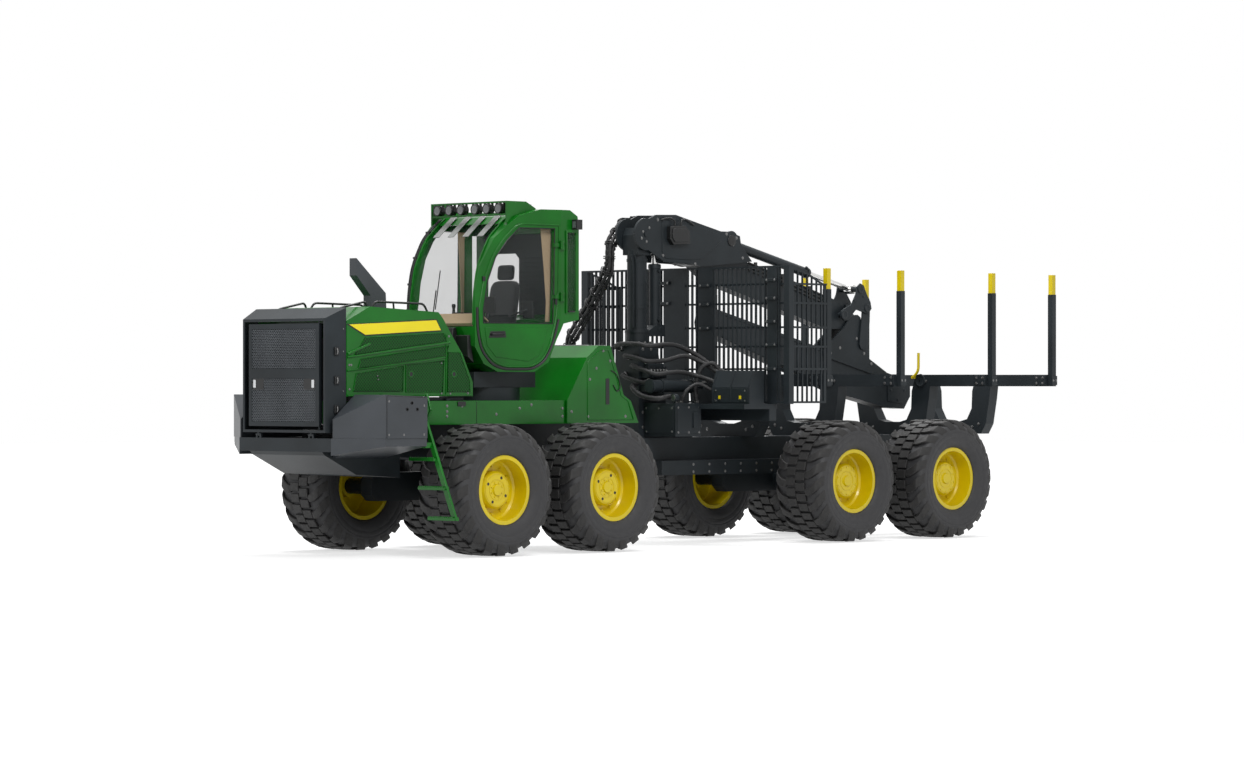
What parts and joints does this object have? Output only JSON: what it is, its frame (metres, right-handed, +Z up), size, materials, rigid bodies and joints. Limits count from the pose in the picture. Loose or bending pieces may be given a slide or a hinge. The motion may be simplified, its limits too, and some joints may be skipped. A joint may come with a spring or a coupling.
{
  "type": "forestry forwarder",
  "caption": "Eight-wheeled forestry forwarder with turning cab, timber crane folded over a staked load space, and a hinged frame.",
  "frame": {"origin": "on the ground under the middle of the machine's overall box, between the two bogies", "axes": "+X forward, +Y to the machine's left, +Z up"},
  "size_m": [11.66, 3.54, 4.05],
  "materials": {
    "green_paint": "gloss paint",
    "dark_paint": "satin paint",
    "yellow_paint": "gloss paint",
    "tyre_rubber": "matte",
    "bright_rod": "polished",
    "window_glass": "clear",
    "seat_fabric": "woven",
    "dark_plastic": "moulded"
  },
  "bodies": {
    "front_body": {"front_frame": "green_paint", "front_chassis": "dark_paint", "side_boxes": "dark_paint", "rear_tank": "green_paint", "ladder": "green_paint", "engine": "dark_paint", "front_bogies": "dark_paint", "cab_ring": "dark_paint"},
    "hood_lid": {"hood": "green_paint", "cowl": "dark_paint", "exhaust_stack": "dark_paint"},
    "grille_leaf": {"grille_door": "dark_paint"},
    "cab": {"cab_base": "dark_paint", "cab_shell": "green_paint", "cab_glass": "window_glass", "seat": "seat_fabric", "cab_console": "dark_plastic", "lamp_rack": "green_paint", "work_lamps": "dark_plastic"},
    "door": {"cab_door": "green_paint", "door_glass": "window_glass"},
    "cross_piece": {"mid_joint": "dark_paint"},
    "rear_body": {"rear_frame": "dark_paint", "rear_bogies": "dark_paint", "column": "dark_paint", "crane_hoses": "dark_plastic", "gate": "dark_paint", "bunks": "dark_paint", "stakes": "dark_paint", "stake_tips": "yellow_paint"},
    "steer_tube_left": {"steer_barrel_left": "dark_paint"},
    "steer_tube_right": {"steer_barrel_right": "dark_paint"},
    "steer_ram_left": {"steer_rod_left": "bright_rod"},
    "steer_ram_right": {"steer_rod_right": "bright_rod"},
    "lift_boom": {"boom": "dark_paint"},
    "lift_tube": {"lift_barrel": "dark_paint"},
    "lift_ram": {"lift_rod": "bright_rod"},
    "jib_tube": {"jib_barrel": "dark_paint"},
    "jib_ram": {"jib_rod": "bright_rod"},
    "rocker": {"jib_rocker": "dark_paint"},
    "link": {"jib_link": "dark_paint"},
    "jib_arm": {"jib": "dark_paint"},
    "inner_jib": {"extension": "dark_paint"},
    "tip": {"tip_link": "dark_paint"},
    "wheel_f1l": {"tyre_f1l": "tyre_rubber", "rim_f1l": "yellow_paint"},
    "wheel_f2l": {"tyre_f2l": "tyre_rubber", "rim_f2l": "yellow_paint"},
    "wheel_f1r": {"tyre_f1r": "tyre_rubber", "rim_f1r": "yellow_paint"},
    "wheel_f2r": {"tyre_f2r": "tyre_rubber", "rim_f2r": "yellow_paint"},
    "wheel_r1l": {"tyre_r1l": "tyre_rubber", "rim_r1l": "yellow_paint"},
    "wheel_r2l": {"tyre_r2l": "tyre_rubber", "rim_r2l": "yellow_paint"},
    "wheel_r1r": {"tyre_r1r": "tyre_rubber", "rim_r1r": "yellow_paint"},
    "wheel_r2r": {"tyre_r2r": "tyre_rubber", "rim_r2r": "yellow_paint"}
  },
  "joints": [
    {"name": "spin_f1l", "type": "hinge", "parent": "front_body", "child": "wheel_f1l", "pos_m": [3.86, 1.185, 0.75], "axis": [0, 1, 0], "continuous": true},
    {"name": "spin_f2l", "type": "hinge", "parent": "front_body", "child": "wheel_f2l", "pos_m": [2.12, 1.185, 0.75], "axis": [0, 1, 0], "continuous": true},
    {"name": "spin_f1r", "type": "hinge", "parent": "front_body", "child": "wheel_f1r", "pos_m": [3.86, -1.185, 0.75], "axis": [0, 1, 0], "continuous": true},
    {"name": "spin_f2r", "type": "hinge", "parent": "front_body", "child": "wheel_f2r", "pos_m": [2.12, -1.185, 0.75], "axis": [0, 1, 0], "continuous": true},
    {"name": "spin_r1l", "type": "hinge", "parent": "rear_body", "child": "wheel_r1l", "pos_m": [-2.035, 1.185, 0.75], "axis": [0, 1, 0], "continuous": true},
    {"name": "spin_r2l", "type": "hinge", "parent": "rear_body", "child": "wheel_r2l", "pos_m": [-3.905, 1.185, 0.75], "axis": [0, 1, 0], "continuous": true},
    {"name": "spin_r1r", "type": "hinge", "parent": "rear_body", "child": "wheel_r1r", "pos_m": [-2.035, -1.185, 0.75], "axis": [0, 1, 0], "continuous": true},
    {"name": "spin_r2r", "type": "hinge", "parent": "rear_body", "child": "wheel_r2r", "pos_m": [-3.905, -1.185, 0.75], "axis": [0, 1, 0], "continuous": true},
    {"name": "steer", "type": "hinge", "parent": "front_body", "child": "cross_piece", "pos_m": [0.75, 0, 1.18], "axis": [0, 0, 1], "range_deg": [-44, 44]},
    {"name": "frame_roll", "type": "hinge", "parent": "cross_piece", "child": "rear_body", "pos_m": [0.42, 0, 1.18], "axis": [1, 0, 0], "range_deg": [-15, 15]},
    {"name": "cab_turn", "type": "hinge", "parent": "front_body", "child": "cab", "pos_m": [2.85, 0, 1.9], "axis": [0, 0, -1], "range_deg": [-145, 145]},
    {"name": "door_hinge", "type": "hinge", "parent": "cab", "child": "door", "pos_m": [2.352, 0.868, 2.9], "axis": [0, 0, 1], "range_deg": [0, 75]},
    {"name": "hood_hinge", "type": "hinge", "parent": "front_body", "child": "hood_lid", "pos_m": [5.8, 0, 1.378], "axis": [0, 1, 0], "range_deg": [0, 55]},
    {"name": "grille_hinge", "type": "hinge", "parent": "hood_lid", "child": "grille_leaf", "pos_m": [5.815, 0.59, 2], "axis": [0, 0, 1], "range_deg": [0, 110]},
    {"name": "lift", "type": "hinge", "parent": "rear_body", "child": "lift_boom", "pos_m": [0.25, 0, 3.75], "axis": [0, 1, 0], "range_deg": [0, 85]},
    {"name": "lift_tube_hinge", "type": "hinge", "parent": "rear_body", "child": "lift_tube", "pos_m": [-0.065, 0, 2.6], "axis": [0, 1, 0], "range_deg": [-0.5, 4.67]},
    {"name": "lift_ram_slide", "type": "slide", "parent": "lift_tube", "child": "lift_ram", "axis": [0.0021, 0, 1], "range_m": [0, 0.48218]},
    {"name": "jib_fold", "type": "hinge", "parent": "lift_boom", "child": "jib_arm", "pos_m": [-3.6, 0, 2.73], "axis": [0, 1, 0], "range_deg": [0, 132.25]},
    {"name": "rocker_hinge", "type": "hinge", "parent": "lift_boom", "child": "rocker", "pos_m": [-3.33, 0, 2.82], "axis": [0, 1, 0], "range_deg": [0, 74.96]},
    {"name": "link_hinge", "type": "hinge", "parent": "rocker", "child": "link", "pos_m": [-3.77, 0, 2.91], "axis": [0, 1, 0], "range_deg": [-12.5, 0.5]},
    {"name": "jib_tube_hinge", "type": "hinge", "parent": "lift_boom", "child": "jib_tube", "pos_m": [-1.25, 0, 3.71], "axis": [0, 1, 0], "range_deg": [-2.56, 0.5]},
    {"name": "jib_ram_slide", "type": "slide", "parent": "jib_tube", "child": "jib_ram", "axis": [-0.9736, 0, -0.2281], "range_m": [-0.5443, 0]},
    {"name": "jib_extend", "type": "slide", "parent": "jib_arm", "child": "inner_jib", "axis": [0.9716, 0, 0.2368], "range_m": [0, 1.252]},
    {"name": "tip_swing", "type": "hinge", "parent": "inner_jib", "child": "tip", "pos_m": [-0.945, 0, 2.545], "axis": [0, 1, 0], "range_deg": [-45, 45]},
    {"name": "steer_tube_hinge_left", "type": "hinge", "parent": "front_body", "child": "steer_tube_left", "pos_m": [1.75, 0.4, 1.18], "axis": [0, 0, 1], "range_deg": [-0.57, 0.57]},
    {"name": "steer_ram_slide_left", "type": "slide", "parent": "steer_tube_left", "child": "steer_ram_left", "axis": [-0.9978, -0.0665, 0], "range_m": [-0.23385, 0.23385]},
    {"name": "steer_tube_hinge_right", "type": "hinge", "parent": "front_body", "child": "steer_tube_right", "pos_m": [1.75, -0.4, 1.18], "axis": [0, 0, 1], "range_deg": [-0.57, 0.57]},
    {"name": "steer_ram_slide_right", "type": "slide", "parent": "steer_tube_right", "child": "steer_ram_right", "axis": [-0.9978, 0.0665, 0], "range_m": [-0.23385, 0.23385]}
  ],
  "couplings": [
    {"joint": "lift_tube_hinge", "follows": "lift", "ratio": 0.04905},
    {"joint": "lift_ram_slide", "follows": "lift", "m_per_rad": 0.32367},
    {"joint": "jib_fold", "follows": "lift", "ratio": 1.55},
    {"joint": "rocker_hinge", "follows": "lift", "ratio": 0.876},
    {"joint": "link_hinge", "follows": "lift", "ratio": -0.14118},
    {"joint": "jib_tube_hinge", "follows": "lift", "ratio": -0.02423},
    {"joint": "jib_ram_slide", "follows": "lift", "m_per_rad": -0.36555},
    {"joint": "jib_extend", "follows": "lift", "m_per_rad": 0.84258},
    {"joint": "steer_tube_hinge_left", "follows": "steer", "ratio": -0.00161},
    {"joint": "steer_ram_slide_left", "follows": "steer", "m_per_rad": 0.30191},
    {"joint": "steer_tube_hinge_right", "follows": "steer", "ratio": -0.00161},
    {"joint": "steer_ram_slide_right", "follows": "steer", "m_per_rad": -0.30191}
  ]
}
